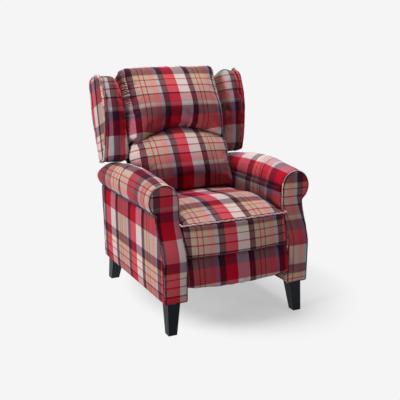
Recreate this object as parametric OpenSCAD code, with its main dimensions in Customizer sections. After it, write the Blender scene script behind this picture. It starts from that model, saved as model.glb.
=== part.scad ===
// Wing chair that reclines when the sitter pushes back. Two rolled arms on wooden legs
// hold a sliding sprung seat, a hinged back with wings, and a folding footrest.
// Sizes are in millimetres. X runs across the chair, the chair faces -Y and Z is up
// from the floor. Left and right are as seen by someone who looks at the chair's front.

/* [Legs] */
// Height of the wooden legs, floor to frame
leg_h = 139; // [110:1:170]
// Side of a front leg at its top
front_leg_top = 56; // [46:1:60]
// Side of a front leg at the floor
front_leg_foot = 37; // [28:1:50]
// How far a front foot stands in front of the top of its leg
front_splay = 18; // [0:1:24]
// How far a front foot stands outside the top of its leg
side_splay = 10; // [0:1:16]
// Side of a rear leg at its top
rear_leg_top = 58; // [46:1:60]
// Side of a rear leg at the floor
rear_leg_foot = 40; // [28:1:50]
// How far a rear foot stands behind the top of its leg
rear_splay = 66; // [20:1:80]
// How far a rear foot stands inside the top of its leg
rear_leg_inset = 4; // [0:1:12]
// Radius of a leg bolt
leg_bolt_r = 4; // [3:0.5:6]

/* [Arms] */
// Clear width between the arms
seat_gap_w = 476; // [440:1:520]
// Width of one arm below its roll
arm_w = 104; // [94:1:116]
// Radius of the arm's roll
roll_r = 63.5; // [56:0.5:70]
// Height of the roll's centre above the legs
roll_up = 406; // [386:1:431]
// Rise of the roll's crown between its ends
roll_crown = 22; // [0:1:28]
// Distance of the arm's front from the middle of the chair, at the roll
arm_front = 342; // [330:1:352]
// Distance of the arm's rear from the middle of the chair
arm_rear = 331; // [320:1:345]
// How far the foot of the arm stands in front of its roll
arm_sweep = 61; // [40:1:70]
// Height above the legs below which the arm's front edge is upright again
sweep_low_up = 161; // [101:1:201]
// How far the roll's rounded end stands behind the arm
roll_tail = 30; // [10:1:34]
// Thickness of the front facing
facing_t = 18; // [12:1:24]
// Thickness of the padded inner panel
inner_panel_t = 24; // [16:1:28]
// Thickness of the padded outer panel
outer_panel_t = 28; // [18:1:32]
// How far the outer panel leans in at its foot
arm_lean = 6; // [0:1:10]
// Thickness of the panels that close the rear
rear_panel_t = 16; // [10:1:20]

/* [Frame timber] */
// Thickness of the arm's plywood board
ply_t = 18; // [12:1:22]
// Thickness of the seat's and back's rails
rail_t = 22; // [18:1:26]
// Height of the cross rails in the base
cross_rail_h = 70; // [50:1:90]
// Height of the seat's rails
seat_rail_h = 45; // [36:1:50]

/* [Seat] */
// Height of the top of the seat's rails above the legs
seat_frame_up = 231; // [221:1:241]
// Height of the seat's front edge above the legs
seat_edge_up = 311; // [301:1:323]
// Rise of the seat from its front edge to its highest line
seat_rise = 24; // [6:1:28]
// Extra rise of the seat along its middle
seat_crown = 11; // [4:1:12]
// Distance of the seat's rear end behind the middle of the chair
seat_rear = 140; // [120:1:146]
// Height above the legs of the seam between front border and footrest
seam_up = 176; // [169:1:183]
// Distance of the front border's foot from the middle of the chair
border_front = 394; // [384:1:404]
// How far the border leans back up to the seat's edge
border_lean = 30; // [10:1:34]
// How far the seat's front bows out in the middle
border_bow = 20; // [0:1:26]
// Thickness of the front border at its foot
border_t = 47; // [36:1:54]
// Diameter of the spring wire
spring_wire = 4; // [3:0.5:5]
// Number of springs in the seat
seat_springs_n = 5; // [3:1:7]

/* [Back] */
// Lean of the back from upright, in degrees
back_tilt = 18.8; // [14:0.2:22]
// Distance of the back's rear face behind the middle of the chair, at the hinge
back_rear = 200; // [190:1:210]
// Height of the hinge above the legs
hinge_up = 221; // [211:1:231]
// Length of the back's posts above the hinge
post_l = 632; // [600:1:636]
// Clear gap between a post and the arm beside it
post_side_gap = 18; // [16:1:28]
// Width of one post
post_w = 26; // [20:1:36]
// Depth of a post, front to rear
post_d = 30; // [24:1:36]
// Room for the rear panel's board behind the posts
back_panel_t = 8; // [6:1:12]
// How far the rear panel's padding stands out behind that board
back_puff = 9; // [4:1:12]
// Width of a strap of elastic webbing
strap_w = 50; // [30:1:60]
// Thickness of the webbing
strap_t = 2; // [1:0.5:3]
// Number of straps
strap_n = 5; // [3:1:6]

/* [Pillows] */
// Half width of the head pillow's front
pillow_half_w = 225; // [205:1:232]
// How much wider each side of a pillow is at its rear
pillow_flare = 29; // [0:1:32]
// Depth of the head pillow's side seam in front of the back's rear face
head_depth = 170; // [150:1:180]
// Length of the head pillow up the back, measured from the hinge to its top
head_top = 669; // [660:1:690]
// Bulge of the head pillow's middle
head_crown = 20; // [5:1:28]
// How far the head pillow drops from its top to the back's rear edge
head_wrap = 26; // [10:1:30]
// Depth of the lumbar pillow's side seam at the seat
lumbar_depth = 200; // [180:1:208]
// Height of the lumbar pillow's underside above the legs
lumbar_low_up = 348; // [346:1:356]
// Height of the lumbar arch's springing up the back
arch_side = 305; // [280:1:320]
// Rise of the lumbar arch
arch_rise = 66; // [20:1:70]
// Bulge of the lumbar pillow's middle
lumbar_crown = 20; // [5:1:26]

/* [Wings] */
// Height of the wing's foot up the back
wing_low = 258; // [254:1:280]
// Height of the wing's top up the back
wing_top = 644; // [620:1:670]
// Depth of the wing at its widest
wing_depth = 166; // [140:1:180]
// Distance of the wing's outer face from the middle of the chair
wing_out = 361; // [350:1:368]
// Thickness of the wing's outer panel
wing_panel_t = 16; // [12:1:20]
// Thickness of the wing's padding at its foot
wing_pad_low = 84; // [60:1:90]
// Thickness of the wing's padding at its top
wing_pad_high = 56; // [40:1:70]
// How far the top of the wing's padding falls away towards its inner edge
wing_shoulder = 24; // [0:1:30]
// Bulge of the wing's padding in front of its seam
wing_puff = 22; // [8:1:30]

/* [Footrest] */
// Lean of the footrest board, in degrees
board_tilt = 10.8; // [6:0.2:14]
// Length of the footrest's front at its sides
board_l = 117; // [100:1:130]
// Extra length of the footrest's front in the middle
board_drop = 16; // [0:1:22]
// Thickness of the footrest's padding
foot_pad_t = 24; // [18:1:26]
// Thickness of the footrest's board
foot_board_t = 14; // [10:1:16]
// Length of a drive link between its pivots
link_l = 185; // [165:1:190]
// Width of a link
link_w = 20; // [16:1:22]
// Thickness of the steel plates and links
steel_t = 3; // [2:0.5:4]
// Radius of a rivet's shank
rivet_r = 4; // [3:0.5:5]

/* [Movement] */
// Distance that the seat slides forward as the back reclines
seat_travel = 50; // [0:1:50]
// Radius of the pins that the seat slides on
slide_pin_r = 6; // [5:0.5:7]
// Radius of the pin that the back hinges on
hinge_pin_r = 7; // [6:0.5:9]

/* [Hidden] */
$fn = 48;

// Running clearance of a pin in its hole
run_gap = 0.05;
// Gap between a soft form and what it rests on
soft_gap = 0.3;
// Gap between the two pillows
pillow_gap = 1;
// Gap between the sliding seat and the arms
side_gap = 3;
// Gap between the footrest and the front border
seam_gap = 3;
// How far a cutting shape runs past what it cuts
overrun = 1;

// Heights from the floor
roll_z = leg_h + roll_up;
sweep_low_z = leg_h + sweep_low_up;
seat_frame_z = leg_h + seat_frame_up;
seat_edge_z = leg_h + seat_edge_up;
seam_z = leg_h + seam_up;
hinge_z = leg_h + hinge_up;
lumbar_low_z = leg_h + lumbar_low_up;

seat_half_w = seat_gap_w / 2 - side_gap;
post_span = seat_gap_w - 2 * post_side_gap;
arm_in_x = seat_gap_w / 2;
arm_out_x = arm_in_x + arm_w;
roll_x = arm_out_x - roll_r / 2;
board_x = arm_in_x + inner_panel_t;
outer_panel_x = arm_out_x - outer_panel_t;

// The arm's front edge in side view: upright, an S curve, and upright again
neck_share = 0.8;
sweep_high_z = roll_z - roll_r * neck_share;
sweep_steps = 8;
function sweep_at(z) =
  z <= sweep_low_z ? arm_sweep
  : z >= sweep_high_z ? 0
  : arm_sweep * (1 + cos(180 * (z - sweep_low_z) / (sweep_high_z - sweep_low_z))) / 2;
function sweep_line(top_z, back) = [
  [-arm_front - arm_sweep + back, leg_h],
  for (i = [0:sweep_steps])
    let (z = sweep_low_z + (sweep_high_z - sweep_low_z) * i / sweep_steps)
      [-arm_front - sweep_at(z) + back, z],
  [-arm_front + back, top_z]
];

// An outline drawn in X and Z, given depth from y_front to y_rear
module front_on(y_front, y_rear)
  translate([0, y_rear, 0]) rotate([90, 0, 0])
    linear_extrude(height = y_rear - y_front) children();

// An outline drawn in Y and Z, given width from x_in to x_out
module side_on(x_in, x_out)
  translate([x_in, 0, 0]) rotate([90, 0, 90])
    linear_extrude(height = x_out - x_in) children();

// A flat band along a run of points, with round eyes at its ends and bends
module band(points, width, eye_share) {
  for (i = [0:len(points) - 2]) {
    run = points[i + 1] - points[i];
    translate(points[i]) rotate(atan2(run[1], run[0]))
      translate([0, -width / 2]) square([norm(run), width]);
  }
  for (p = points) translate(p) circle(r = width * eye_share);
}

// A box between two corners
module block(low, high) translate(low) cube(high - low);

// A round bar along X
module bar(x_in, x_out, r) translate([x_in, 0, 0]) rotate([0, 90, 0])
  cylinder(h = x_out - x_in, r = r);

module left() mirror([1, 0, 0]) children();
module both_sides() {
  children();
  left() children();
}

// A closed soft form skinned over rings of points, all of one length
module loft(rings) {
  n = len(rings[0]);
  m = len(rings);
  points = [
    for (r = rings) each r,
    [for (k = [0:2]) ring_mean(rings[0], k)],
    [for (k = [0:2]) ring_mean(rings[m - 1], k)]
  ];
  faces = [
    for (i = [0:m - 2], j = [0:n - 1]) [i * n + j, (i + 1) * n + j, i * n + (j + 1) % n],
    for (i = [0:m - 2], j = [0:n - 1])
      [(i + 1) * n + j, (i + 1) * n + (j + 1) % n, i * n + (j + 1) % n],
    for (j = [0:n - 1]) [m * n, j, (j + 1) % n],
    for (j = [0:n - 1]) [m * n + 1, (m - 1) * n + (j + 1) % n, (m - 1) * n + j]
  ];
  polyhedron(points = points, faces = faces, convexity = 4);
}
function ring_mean(ring, k) = sum([for (p = ring) p[k]]) / len(ring);
function sum(list, i = 0) = i == len(list) ? 0 : list[i] + sum(list, i + 1);

// Legs

leg_bolt_up = 48;
leg_bolt_down = 36;
leg_bolt_x = (board_x + ply_t + outer_panel_x) / 2;
front_leg_x = arm_in_x + arm_w / 2;
front_leg_y = -arm_front - arm_sweep + facing_t + front_leg_top / 2 + 2 * run_gap;
rear_leg_x_share = 0.445;
rear_leg_x = arm_in_x + arm_w * rear_leg_x_share;
rear_leg_y = arm_rear - rear_leg_top / 2 - run_gap;

// A tapered leg: place is the middle of its top, splay moves its foot in X and Y
module leg(place, top, foot, splay) {
  reach = top + norm(splay);
  difference() {
    intersection() {
      front_on(place[1] - reach, place[1] + reach) polygon([
        [place[0] - top / 2, leg_h], [place[0] + top / 2, leg_h],
        [place[0] + splay[0] + foot / 2, 0], [place[0] + splay[0] - foot / 2, 0]
      ]);
      side_on(place[0] - reach, place[0] + reach) polygon([
        [place[1] - top / 2, leg_h], [place[1] + top / 2, leg_h],
        [place[1] + splay[1] + foot / 2, 0], [place[1] + splay[1] - foot / 2, 0]
      ]);
    }
    translate([leg_bolt_x, place[1], leg_h - leg_bolt_down - run_gap])
      cylinder(h = leg_bolt_down + overrun, r = leg_bolt_r + run_gap);
  }
}
module front_leg()
  color("#1b1a1c") leg(
    [front_leg_x, front_leg_y], front_leg_top, front_leg_foot, [side_splay, -front_splay]);
module rear_leg()
  color("#1b1a1c") leg(
    [rear_leg_x, rear_leg_y], rear_leg_top, rear_leg_foot, [-rear_leg_inset, rear_splay]);

module leg_bolts() {
  color("silver") both_sides() for (y = [front_leg_y, rear_leg_y])
    translate([leg_bolt_x, y, leg_h - leg_bolt_down])
      cylinder(h = leg_bolt_down + leg_bolt_up, r = leg_bolt_r);
}

corner_block_h = 62;
module corner_block(y_front, y_rear, bolt_y) {
  difference() {
    block([board_x + ply_t, y_front, leg_h], [outer_panel_x, y_rear, leg_h + corner_block_h]);
    translate([leg_bolt_x, bolt_y, leg_h - overrun])
      cylinder(h = leg_bolt_up + 2 * overrun, r = leg_bolt_r + run_gap);
  }
}
module corner_blocks() {
  color("burlywood") both_sides() {
    corner_block(-arm_front - arm_sweep + facing_t, front_leg_y + front_leg_top / 2, front_leg_y);
    corner_block(rear_leg_y - rear_leg_top / 2, arm_rear - rear_panel_t, rear_leg_y);
  }
}

// Arms

// The round bed that the roll lies in
module roll_bed() translate([roll_x, roll_z]) circle(r = roll_r + soft_gap);

board_rail_h = 44;
module arm_board() {
  color("burlywood") front_on(-arm_front + facing_t, arm_rear - rear_panel_t) difference() {
    union() {
      translate([board_x, leg_h]) square([ply_t, roll_z - leg_h - roll_r / 2]);
      translate([board_x, roll_z - roll_r - board_rail_h / 2])
        square([outer_panel_x - board_x, board_rail_h]);
    }
    roll_bed();
  }
}

module arm_side_shape(rear_y, top_z)
  polygon(concat(sweep_line(top_z, facing_t), [[rear_y, top_z], [rear_y, leg_h]]));

module arm_inner_panel() {
  color("#c23a3c") difference() {
    side_on(arm_in_x, board_x) arm_side_shape(arm_rear - rear_panel_t, roll_z);
    front_on(-arm_front, arm_rear) roll_bed();
  }
}

module arm_outer_panel() {
  color("#a83238") difference() {
    intersection() {
      side_on(outer_panel_x, arm_out_x) arm_side_shape(arm_rear - rear_panel_t, roll_z);
      front_on(-arm_front - arm_sweep, arm_rear) polygon([
        [outer_panel_x, leg_h], [arm_out_x - arm_lean, leg_h],
        [arm_out_x, sweep_high_z], [arm_out_x, roll_z - roll_r / 2], [outer_panel_x, roll_z]
      ]);
    }
    front_on(-arm_front - arm_sweep, arm_rear) roll_bed();
  }
}

// The facing narrows at its neck by this much on its inner side
neck_step = roll_r / 9;
module arm_end_outline(scroll) {
  polygon([
    [arm_in_x, leg_h], [arm_out_x - arm_lean, leg_h],
    [arm_out_x, sweep_high_z], [arm_in_x + neck_step, sweep_high_z],
    [arm_in_x, sweep_low_z]
  ]);
  if (scroll) {
    polygon([
      [arm_in_x + neck_step, sweep_high_z - overrun], [arm_out_x, sweep_high_z - overrun],
      [arm_out_x, roll_z], [arm_in_x + neck_step, roll_z]
    ]);
    translate([roll_x, roll_z]) circle(r = roll_r);
  }
}

module arm_facing() {
  color("#7c2833") intersection() {
    front_on(-arm_front - arm_sweep, -arm_front + facing_t) arm_end_outline(true);
    side_on(arm_in_x, roll_x + roll_r) polygon(concat(
      sweep_line(roll_z + roll_r, 0),
      [for (i = [len(sweep_line(roll_z, 0)) - 1:-1:0]) sweep_line(roll_z + roll_r, facing_t)[i]]
    ));
  }
}

module arm_rear_panel() {
  color("#7c2833") front_on(arm_rear - rear_panel_t, arm_rear) difference() {
    arm_end_outline(false);
    roll_bed();
  }
}

// The roll: a round pad with a crowned top and a rounded tail behind the arm
roll_sides = 24;
roll_tail_y = 215;
roll_steps = 8;
tail_steps = 6;
tail_fall_power = 1.8;
tail_round_power = 2.6;
tail_drop_share = 0.25;
tail_z = roll_z - roll_r * tail_drop_share;
roll_front_y = -arm_front + facing_t + soft_gap;
roll_end_y = arm_rear + roll_tail;
function tail_share(y) = max(0, (y - roll_tail_y) / (roll_end_y - roll_tail_y));
function roll_ring(y) =
  let (
    s = tail_share(y),
    along = (y - roll_front_y) / (roll_tail_y - roll_front_y),
    crown = roll_crown * sin(180 * min(1, along)),
    fall = 1 - pow(s, tail_fall_power),
    round = pow(1 - pow(s, tail_round_power), 1 / tail_round_power)
  ) [
    for (i = [0:roll_sides - 1])
      let (
        a = -360 * i / roll_sides,
        up = sin(a),
        z = roll_z + roll_r * up + (up > 0 ? crown * up : 0),
        squeeze = z > tail_z ? fall : round
      )
        [roll_x + roll_r * cos(a) * round, y, tail_z + (z - tail_z) * squeeze]
  ];
tail_end_share = 0.985;
module arm_roll() {
  color("#b03a3e") loft([
    for (i = [0:roll_steps])
      roll_ring(roll_front_y + (roll_tail_y - roll_front_y) * i / roll_steps),
    for (i = [1:tail_steps])
      roll_ring(roll_tail_y + (roll_end_y - roll_tail_y) * tail_end_share
        * sin(90 * i / tail_steps))
  ]);
}

// Base

cross_rail_lift = 11;
cross_rail_z = leg_h + cross_rail_lift;
front_cross_y = -55;
rear_cross_y = 270;
module cross_rail(y) color("burlywood")
  block([-arm_in_x, y, cross_rail_z], [arm_in_x, y + rail_t, cross_rail_z + cross_rail_h]);
module front_cross_rail() cross_rail(front_cross_y);
module rear_cross_rail() cross_rail(rear_cross_y);

apron_h = 281;
module rear_apron() color("#7c2833")
  block([-arm_in_x, arm_rear - rear_panel_t, leg_h],
    [arm_in_x, arm_rear, leg_h + apron_h]);

// Sheet layers of the folding linkage, from the seat's plate inwards
sheet_gap = 2.4;
head_t = 1.6;
head_gap = 0.2;
rivet_head_share = 1.75;
rivet_head_r = rivet_r * rivet_head_share;
sheet_pitch = steel_t + sheet_gap;
plate_inset = 10;
plate_out = seat_half_w - plate_inset;
link_out = plate_out - sheet_pitch;
carrier_out = link_out - sheet_pitch;
bracket_out = carrier_out - sheet_pitch;

// The seat slides on pins in slotted rails
slide_up = 183;
slide_z = leg_h + slide_up;
slide_rail_h = 30;
slide_pin_ys = [-250, -120];
slide_rail_in = arm_in_x - steel_t - overrun;
slide_end = 20;
module slide_rail() {
  color("dimgray") difference() {
    block(
      [slide_rail_in, slide_pin_ys[0] - seat_travel - slide_end, slide_z - slide_rail_h / 2],
      [arm_in_x, slide_pin_ys[1] + slide_end, slide_z + slide_rail_h / 2]
    );
    for (y = slide_pin_ys) {
      for (end_y = [y - seat_travel - run_gap, y + run_gap])
        translate([0, end_y, slide_z])
          bar(slide_rail_in - overrun, arm_in_x + overrun, slide_pin_r + run_gap);
      block(
        [slide_rail_in - overrun, y - seat_travel - run_gap, slide_z - slide_pin_r - run_gap],
        [arm_in_x + overrun, y + run_gap, slide_z + slide_pin_r + run_gap]
      );
    }
  }
}

// The back hinges on a pin at each side
hinge_y = back_rear - (back_panel_t + post_d / 2) / cos(back_tilt);
hinge_plate_w = 44;
module hinge_bracket() {
  block([arm_in_x - steel_t - overrun, hinge_y - hinge_plate_w / 2, hinge_z - hinge_plate_w / 2],
    [arm_in_x, hinge_y + hinge_plate_w / 2, hinge_z + hinge_plate_w / 2]);
  translate([0, hinge_y, hinge_z]) {
    bar(post_span / 2 + run_gap, arm_in_x - steel_t, hinge_pin_r);
    bar(post_span / 2 + steel_t + sheet_gap, arm_in_x - steel_t, hinge_pin_r + steel_t);
  }
}
module hinge_brackets() color("dimgray") both_sides() hinge_bracket();

// Seat

seat_front_y = -border_front + border_t;
seat_rail_low = seat_frame_z - seat_rail_h;
module seat_front_rail() color("burlywood")
  block([-plate_out + steel_t + rail_t, seat_front_y + soft_gap, seat_rail_low],
    [plate_out - steel_t - rail_t, seat_front_y + soft_gap + rail_t, seat_frame_z]);
module seat_rear_rail() color("burlywood")
  block([-plate_out + steel_t + rail_t, seat_rear - rail_t, seat_rail_low],
    [plate_out - steel_t - rail_t, seat_rear, seat_frame_z]);
module seat_side_rail() color("burlywood")
  block([plate_out - steel_t - rail_t, seat_front_y + soft_gap, seat_rail_low],
    [plate_out - steel_t, seat_rear, seat_frame_z]);

spring_pitch = 52;
spring_half_w = 24;
spring_bend_share = 0.56;
spring_grip = 10;
module seat_spring() {
  from_y = seat_front_y + spring_grip;
  to_y = seat_rear - spring_grip;
  turns = round((to_y - from_y) / spring_pitch) * 2;
  linear_extrude(height = spring_wire) band([
    for (i = [0:turns])
      [(i % 2 == 0 ? 1 : -1) * spring_half_w, from_y + (to_y - from_y) * i / turns]
  ], spring_wire, spring_bend_share);
}
spring_room_share = 0.84;
module seat_springs() {
  step = (plate_out - rail_t) * 2 * spring_room_share / (seat_springs_n - 1);
  color("gray") for (i = [0:seat_springs_n - 1])
    translate([(i - (seat_springs_n - 1) / 2) * (step - spring_half_w / 2), 0, seat_frame_z])
      seat_spring();
}

// Crown of a padded form across its width: full in the middle, nothing at the edge
crown_power = 3;
function across(s) = 1 - pow(abs(s), crown_power);
// Shares of the half width at which a padded form gets a ring
width_shares = [1, 0.97, 0.88, 0.7, 0.45, 0.2, 0, -0.2, -0.45, -0.7, -0.88, -0.97, -1];
// How much of its height a padded form keeps at its very side
edge_keep_share = 0.9;
edge_from_share = 0.98;
function edge_keep(s) = abs(s) > edge_from_share ? edge_keep_share : 1;

// The seat cushion: shares of its depth from front to rear, and of its rise
seat_top_shares = [
  [0, -0.2], [0.015, 0], [0.05, 0.18], [0.14, 0.5], [0.28, 0.8], [0.45, 0.97],
  [0.62, 1], [0.8, 1], [0.94, 0.95], [1, 0.5]
];
seat_low_z = seat_frame_z + spring_wire + soft_gap;
function seat_ring(s) =
  let (
    x = s * seat_half_w,
    depth = seat_rear - seat_front_y - soft_gap,
    mid_z = (seat_low_z + seat_edge_z) / 2
  ) [
    [x, seat_front_y + soft_gap, seat_low_z],
    for (p = seat_top_shares)
      let (z = seat_edge_z + seat_rise * p[1] + seat_crown * across(s) * max(0, p[1]))
        [x, seat_front_y + soft_gap + depth * p[0], mid_z + (z - mid_z) * edge_keep(s)],
    [x, seat_rear, seat_low_z]
  ];
module seat_cushion() color("#c23a3c") loft([for (s = width_shares) seat_ring(s)]);

// The front border: an upright pad that closes the seat's front down to the seam
border_low_z = seam_z + seam_gap / 2;
border_face_shares = [
  [0.1, 0], [0.02, 0.03], [0, 0.1], [-0.01, 0.3], [-0.01, 0.55], [0, 0.8], [0.05, 0.94], [0.22, 1]
];
function border_ring(s) =
  let (
    x = s * seat_half_w,
    bow = border_bow * (1 - s * s)
  ) [
    [x, seat_front_y, border_low_z],
    for (p = border_face_shares)
      [
        x,
        -border_front - bow + border_t * p[0] + border_lean * p[1],
        border_low_z + (seat_edge_z - border_low_z) * p[1]
      ],
    [x, seat_front_y, seat_edge_z]
  ];
module seat_front_border() color("#b03a3e") loft([for (s = width_shares) border_ring(s)]);

// Linkage pivots as [y, z], with the footrest closed. The idler's pivots lie at one
// vector from the drive link's, so both links stay parallel and the carrier never turns.
drive_pivot_y = -286;
drive_pivot_up = 161;
drive_pivot = [drive_pivot_y, leg_h + drive_pivot_up];
link_angle = 45;
idler_vector = [66, -24];
drive_end = drive_pivot + link_l * [cos(link_angle), -sin(link_angle)];
idler_pivot = drive_pivot + idler_vector;
idler_end = drive_end + idler_vector;
foot_pivot_y = -345;
foot_pivot_up = 146;
foot_pivot = [foot_pivot_y, leg_h + foot_pivot_up];

seat_plate_low_up = 117;
seat_plate_low_z = leg_h + seat_plate_low_up;
seat_plate_ys = [-308, -92];
module seat_plate() {
  color("dimgray") side_on(plate_out - steel_t, plate_out) difference() {
    polygon([
      [seat_plate_ys[0], seat_rail_low + slide_rail_h / 2], [seat_plate_ys[0], drive_pivot[1]],
      [drive_pivot[0], drive_pivot[1] - link_w], [idler_pivot[0] - link_w, seat_plate_low_z],
      [idler_pivot[0] + link_w, seat_plate_low_z],
      [seat_plate_ys[1], slide_z - slide_rail_h / 2],
      [seat_plate_ys[1], seat_rail_low + slide_rail_h / 2]
    ]);
  }
}
module slide_pins() {
  color("silver") both_sides() for (y = slide_pin_ys) translate([0, y, slide_z]) {
    bar(plate_out, arm_in_x - run_gap, slide_pin_r);
    bar(plate_out, slide_rail_in - head_gap, slide_pin_r + steel_t);
  }
}

// A rivet on one sheet's face that carries the next sheet and ends in a head
module rivet_in(at, face_x) translate([0, at[0], at[1]]) {
  bar(face_x - sheet_gap - steel_t - head_gap - head_t, face_x, rivet_r);
  bar(face_x - sheet_gap - steel_t - head_gap - head_t,
    face_x - sheet_gap - steel_t - head_gap, rivet_head_r);
}
module rivet_out(at, face_x) translate([0, at[0], at[1]]) {
  bar(face_x, face_x + sheet_gap + steel_t + head_gap + head_t, rivet_r);
  bar(face_x + sheet_gap + steel_t + head_gap,
    face_x + sheet_gap + steel_t + head_gap + head_t, rivet_head_r);
}
module seat_rivets() color("silver") both_sides() {
  rivet_in(drive_pivot, plate_out - steel_t);
  rivet_in(idler_pivot, plate_out - steel_t);
}
module carrier_rivets() color("silver") both_sides() {
  rivet_out(drive_end, carrier_out);
  rivet_out(idler_end, carrier_out);
}
module footrest_rivets() color("silver") both_sides() rivet_out(foot_pivot, bracket_out);

// A flat steel bar through a run of pivots, with a rivet hole at some of them
link_eye_share = 0.6;
module strip(pivots, holes, x_out) {
  side_on(x_out - steel_t, x_out) difference() {
    band(pivots, link_w, link_eye_share);
    for (p = holes) translate(p) circle(r = rivet_r + run_gap);
  }
}
module drive_link()
  color("gray") strip([drive_pivot, drive_end], [drive_pivot, drive_end], link_out);
module idler_link()
  color("gray") strip([idler_pivot, idler_end], [idler_pivot, idler_end], link_out);
module carrier_link()
  color("gray") strip([idler_end, drive_end, foot_pivot], [foot_pivot], carrier_out);

// Footrest

// Puts its children in the board's own frame: the front face at y = 0, its top at z = 0
module on_board() translate([0, -border_front, seam_z - seam_gap / 2])
  rotate([-board_tilt, 0, 0]) children();

module footrest_board() {
  color("burlywood") on_board() block([-seat_half_w, foot_pad_t + soft_gap, -board_l],
    [seat_half_w, foot_pad_t + soft_gap + foot_board_t, 0]);
}

pad_face_shares = [
  [0.25, 0], [0.06, -0.05], [0, -0.15], [-0.06, -0.4], [-0.06, -0.65], [0, -0.88],
  [0.1, -0.96], [0.4, -1]
];
function pad_ring(s) =
  let (
    x = s * seat_half_w,
    l = board_l + board_drop * (1 - s * s)
  ) [
    [x, foot_pad_t, 0],
    for (p = pad_face_shares) [x, foot_pad_t * p[0], l * p[1]],
    [x, foot_pad_t, -l]
  ];
module footrest_pad() color("#b03a3e") on_board()
  loft([for (s = width_shares) [for (i = [len(pad_ring(s)) - 1:-1:0]) pad_ring(s)[i]]]);

bracket_flange = 26;
bracket_l = 60;
module footrest_bracket() {
  rear_face = foot_pad_t + soft_gap + foot_board_t;
  pivot = [
    (foot_pivot[0] + border_front) * cos(board_tilt)
      - (foot_pivot[1] - seam_z + seam_gap / 2) * sin(board_tilt),
    (foot_pivot[0] + border_front) * sin(board_tilt)
      + (foot_pivot[1] - seam_z + seam_gap / 2) * cos(board_tilt)
  ];
  on_board() {
    side_on(bracket_out - steel_t, bracket_out) {
      polygon([
        [rear_face, 0], [pivot[0], pivot[1] + link_w / 2], [pivot[0], pivot[1] - link_w / 2],
        [rear_face, -bracket_l]
      ]);
      translate(pivot) circle(r = link_w / 2);
    }
    block([bracket_out - bracket_flange, rear_face, -bracket_l],
      [bracket_out - steel_t / 2, rear_face + steel_t, 0]);
  }
}
module footrest_brackets() color("dimgray") both_sides() footrest_bracket();

// Back

// Puts its children in the back's own frame: z runs up the back's rear face from the
// hinge and -y points forward out of it
module on_back() translate([0, back_rear, hinge_z]) rotate([-back_tilt, 0, 0]) children();

post_front = back_panel_t + post_d;
post_foot = -20;
module back_post() color("burlywood") on_back()
  block([post_span / 2 - post_w, -post_front, post_foot],
    [post_span / 2, -back_panel_t, post_l]);

top_rail_h = 60;
bottom_rail_low = 40;
bottom_rail_h = 60;
module back_rail(low, high) color("burlywood") on_back()
  block([-post_span / 2 + post_w, -post_front, low], [post_span / 2 - post_w, -back_panel_t, high]);
module back_top_rail() back_rail(post_l - top_rail_h, post_l);
module back_bottom_rail() back_rail(bottom_rail_low, bottom_rail_low + bottom_rail_h);

strap_low = 150;
strap_inset = 6;
module back_webbing() {
  color("dimgray") on_back() for (i = [0:strap_n - 1])
    translate([0, 0, strap_low + (post_l - top_rail_h - strap_low) * i / strap_n])
      block([-post_span / 2 + strap_inset, -post_front - strap_t, 0],
        [post_span / 2 - strap_inset, -post_front, strap_w]);
}

// The hinge plates lie on the posts' outer faces
hinge_plate_l = 110;
module back_hinge_plates() {
  color("dimgray") both_sides() on_back() side_on(post_span / 2, post_span / 2 + steel_t) {
    difference() {
      translate([-post_front, post_foot]) square([post_d, hinge_plate_l]);
      translate([(hinge_y - back_rear) * cos(back_tilt), (hinge_y - back_rear) * sin(back_tilt)])
        circle(r = hinge_pin_r + run_gap);
    }
  }
}

panel_top = 642;
panel_side_gap = 10;
panel_neck_w = arm_in_x - panel_side_gap;
module back_outer_panel() {
  color("#7c2833") on_back() front_on(-back_panel_t, back_puff) polygon([
    [-panel_neck_w, post_foot], [panel_neck_w, post_foot],
    [panel_neck_w, wing_low], [wing_out - wing_panel_t, wing_low],
    [wing_out - wing_panel_t, panel_top], [-wing_out + wing_panel_t, panel_top],
    [-wing_out + wing_panel_t, wing_low], [-panel_neck_w, wing_low]
  ]);
}

// Pillows, in the back's frame. A side profile is drawn from the rear foot round the
// front to the rear top, with depth in shares of the pillow's depth.
pillow_rear = post_front + strap_t + soft_gap;
function arch_top(s) = arch_side + arch_rise * (1 - s * s);
// A pillow keeps to the seat's width where it passes between the arms, and flares above
flare_from_share = 0.95;
flare_full_share = 1.01;
function flare_at(t) = min(1, max(0,
  (t / arch_side - flare_from_share) / (flare_full_share - flare_from_share)));
function pillow_x(s, depth, t) =
  let (narrow = seat_half_w - pillow_half_w)
    s * (pillow_half_w
      + (narrow + (pillow_flare - narrow) * flare_at(t)) * (1 - depth / head_depth));

lumbar_shares = [
  [0, 0], [0.9, 0], [1.02, 0.02], [1.04, 0.12], [1.0, 0.3], [0.96, 0.5], [0.91, 0.7],
  [0.84, 0.86], [0.7, 0.97], [0.5, 1], [0, 0.98]
];
lumbar_puff_from_share = 0.8;
lumbar_puff_start_share = 0.1;
function lumbar_ring(s) = [
  for (p = lumbar_shares)
    let (
      d0 = lumbar_depth * p[0],
      puff = p[0] > lumbar_puff_from_share
        ? lumbar_crown * across(s) * sin(180 * min(1, p[1] + lumbar_puff_start_share)) : 0,
      d = max(pillow_rear, d0 + puff) * edge_keep(p[0] > 0 ? s : 0),
      low = (lumbar_low_z - hinge_z - d * sin(back_tilt)) / cos(back_tilt),
      top = arch_top(s),
      t = low + (top - low) * p[1]
    )
      [pillow_x(s, d, t), -d, t]
];
module lumbar_pillow() color("#c8484a") on_back()
  loft([for (s = width_shares) lumbar_ring(s)]);

head_face_shares = [
  [0, 0], [0.96, 0], [1.0, 0.12], [1.02, 0.24], [1.02, 0.36], [0.97, 0.5], [0.88, 0.66],
  [0.79, 0.8], [0.71, 0.92], [0.66, 0.98], [0.58, 1]
];
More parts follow.
